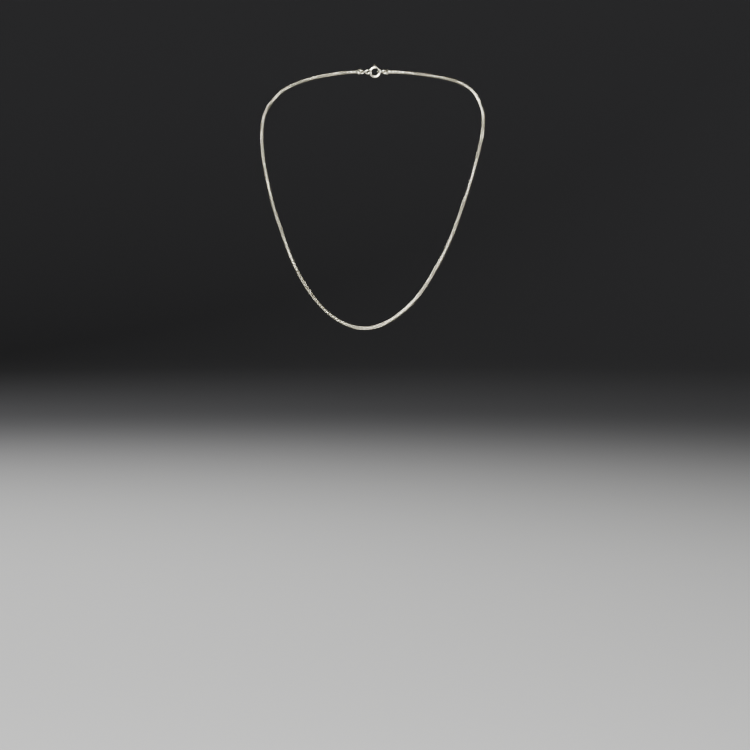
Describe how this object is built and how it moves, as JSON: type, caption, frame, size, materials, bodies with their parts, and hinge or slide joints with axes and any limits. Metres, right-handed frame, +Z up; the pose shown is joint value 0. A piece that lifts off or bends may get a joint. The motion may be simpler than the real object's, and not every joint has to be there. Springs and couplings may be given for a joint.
{
  "type": "chain necklace",
  "caption": "Fine square-link box chain necklace in its worn drape, closed at the nape by a spring ring clasp with jump rings.",
  "frame": {"origin": "middle of the neck that the chain goes round, 2 mm above the line where its front starts to hang", "axes": "+X to the right for someone facing the wearer, +Y towards the back of the neck, +Z up"},
  "size_m": [0.1102, 0.075, 0.1307],
  "materials": {
    "chain": "polished silver links, slightly warm",
    "fittings": "polished silver clasp, rings and end connectors",
    "spring": "drawn spring wire"
  },
  "bodies": {
    "neck_rest": {"chain_neck_left": "chain", "chain_neck_right": "chain"},
    "front_01": {"chain_front_left_01": "chain", "chain_front_right_01": "chain"},
    "front_02": {"chain_front_left_02": "chain", "chain_front_right_02": "chain"},
    "front_03": {"chain_front_left_03": "chain", "chain_front_right_03": "chain"},
    "front_04": {"chain_front_left_04": "chain", "chain_front_right_04": "chain"},
    "front_05": {"chain_front_left_05": "chain", "chain_front_right_05": "chain"},
    "front_06": {"chain_front_left_06": "chain", "chain_front_right_06": "chain"},
    "front_07": {"chain_front_left_07": "chain", "chain_front_right_07": "chain"},
    "front_08": {"chain_front_left_08": "chain", "chain_front_right_08": "chain"},
    "front_09": {"chain_front_left_09": "chain", "chain_front_right_09": "chain"},
    "front_10": {"chain_front_left_10": "chain", "chain_front_right_10": "chain"},
    "front_11": {"chain_front_left_11": "chain", "chain_front_right_11": "chain"},
    "front_12": {"chain_front_left_12": "chain", "chain_front_right_12": "chain"},
    "front_13": {"chain_front_left_13": "chain", "chain_front_right_13": "chain"},
    "front_14": {"chain_front_left_14": "chain", "chain_front_right_14": "chain"},
    "front_bottom": {"chain_bottom": "chain"},
    "back_1": {"chain_back_left_1": "chain", "chain_back_right_1": "chain"},
    "back_2": {"chain_back_left_2": "chain", "chain_back_right_2": "chain"},
    "back_3": {"chain_back_left_3": "chain", "chain_back_right_3": "chain"},
    "back_4": {"chain_back_left_4": "chain", "chain_back_right_4": "chain"},
    "nape": {"chain_nape_left": "chain", "chain_nape_right": "chain", "end_connector_left": "fittings", "end_connector_right": "fittings"},
    "small_ring": {"jump_ring_small": "fittings"},
    "clasp": {"clasp_body": "fittings", "clasp_eye": "fittings", "clasp_spring": "spring"},
    "gate": {"clasp_gate": "fittings", "clasp_knob": "fittings"},
    "large_ring": {"jump_ring_large": "fittings"}
  },
  "joints": [
    {"name": "front_swing_01", "type": "hinge", "parent": "neck_rest", "child": "front_01", "pos_m": [-0.0004, -0.03595, -0.00197], "axis": [1, 0.0015, 0.0048], "range_deg": [-20, 17]},
    {"name": "front_swing_02", "type": "hinge", "parent": "front_01", "child": "front_02", "pos_m": [-0.00096, -0.0361, -0.00841], "axis": [-1, 0.0024, 0.0021], "range_deg": [-20, 20]},
    {"name": "front_swing_03", "type": "hinge", "parent": "front_02", "child": "front_03", "pos_m": [-0.00144, -0.03597, -0.01524], "axis": [1, 0.0009, -0.0005], "range_deg": [-20, 20]},
    {"name": "front_swing_04", "type": "hinge", "parent": "front_03", "child": "front_04", "pos_m": [-0.00169, -0.03599, -0.02203], "axis": [-1, -0.0005, -0.0006], "range_deg": [-20, 20]},
    {"name": "front_swing_05", "type": "hinge", "parent": "front_04", "child": "front_05", "pos_m": [-0.00208, -0.03601, -0.02834], "axis": [1, -0.0003, -0.0066], "range_deg": [-20, 20]},
    {"name": "front_swing_06", "type": "hinge", "parent": "front_05", "child": "front_06", "pos_m": [-0.00241, -0.036, -0.03503], "axis": [-1, 0.0001, 0.0048], "range_deg": [-20, 20]},
    {"name": "front_swing_07", "type": "hinge", "parent": "front_06", "child": "front_07", "pos_m": [-0.00257, -0.036, -0.04167], "axis": [1, 0.0001, -0.0039], "range_deg": [-20, 20]},
    {"name": "front_swing_08", "type": "hinge", "parent": "front_07", "child": "front_08", "pos_m": [-0.00265, -0.036, -0.04825], "axis": [-1, 0, 0.0035], "range_deg": [-20, 20]},
    {"name": "front_swing_09", "type": "hinge", "parent": "front_08", "child": "front_09", "pos_m": [-0.00284, -0.036, -0.05478], "axis": [1, 0, -0.002], "range_deg": [-20, 20]},
    {"name": "front_swing_10", "type": "hinge", "parent": "front_09", "child": "front_10", "pos_m": [-0.00309, -0.036, -0.0612], "axis": [-1, 0, -0.0006], "range_deg": [-20, 20]},
    {"name": "front_swing_11", "type": "hinge", "parent": "front_10", "child": "front_11", "pos_m": [-0.00335, -0.036, -0.06822], "axis": [1, 0, 0.0043], "range_deg": [-20, 20]},
    {"name": "front_swing_12", "type": "hinge", "parent": "front_11", "child": "front_12", "pos_m": [-0.00369, -0.036, -0.07465], "axis": [-1, 0, 0.0051], "range_deg": [-20, 20]},
    {"name": "front_swing_13", "type": "hinge", "parent": "front_12", "child": "front_13", "pos_m": [-0.00376, -0.036, -0.08116], "axis": [1, 0, -0.0043], "range_deg": [-16, 16]},
    {"name": "front_swing_14", "type": "hinge", "parent": "front_13", "child": "front_14", "pos_m": [-0.00392, -0.036, -0.08708], "axis": [-1, 0, -0.0012], "range_deg": [-12, 12]},
    {"name": "front_swing_15", "type": "hinge", "parent": "front_14", "child": "front_bottom", "pos_m": [-0.004, -0.036, -0.09163], "axis": [1, 0, 0.0072], "range_deg": [-12, 12]},
    {"name": "back_lift_1", "type": "hinge", "parent": "neck_rest", "child": "back_1", "pos_m": [0.00046, -0.01585, 0.0107], "axis": [0.9998, 0.0025, 0.02], "range_deg": [0, 20]},
    {"name": "back_lift_2", "type": "hinge", "parent": "back_1", "child": "back_2", "pos_m": [0.00054, -0.00427, 0.01408], "axis": [0.9996, 0.0001, 0.0294], "range_deg": [0, 20]},
    {"name": "back_lift_3", "type": "hinge", "parent": "back_2", "child": "back_3", "pos_m": [0.00051, 0.00837, 0.01862], "axis": [0.9995, 0, 0.0316], "range_deg": [0, 18]},
    {"name": "back_lift_4", "type": "hinge", "parent": "back_3", "child": "back_4", "pos_m": [0.00028, 0.01893, 0.02266], "axis": [0.9996, -0.0005, 0.0283], "range_deg": [0, 15]},
    {"name": "back_lift_5", "type": "hinge", "parent": "back_4", "child": "nape", "pos_m": [-0.00032, 0.02852, 0.02592], "axis": [0.9998, 0.0058, 0.0191], "range_deg": [0, 12]},
    {"name": "small_ring_rock", "type": "hinge", "parent": "nape", "child": "small_ring", "pos_m": [-0.00434, 0.036, 0.0286], "axis": [1, 0, 0], "range_deg": [-25, 25]},
    {"name": "clasp_rock", "type": "hinge", "parent": "small_ring", "child": "clasp", "pos_m": [0.00105, 0.036, 0.0286], "axis": [1, 0, 0], "range_deg": [-25, 25]},
    {"name": "large_ring_rock", "type": "hinge", "parent": "clasp", "child": "large_ring", "pos_m": [0.00402, 0.036, 0.0286], "axis": [-1, 0, 0], "range_deg": [-25, 25]},
    {"name": "gate_slide", "type": "hinge", "parent": "clasp", "child": "gate", "pos_m": [0.00105, 0.036, 0.0286], "axis": [0, -1, 0], "range_deg": [0, 52], "stiffness_Nm_per_rad": 0.002, "springref_deg": -57.3, "deforming": ["clasp_spring"]}
  ]
}
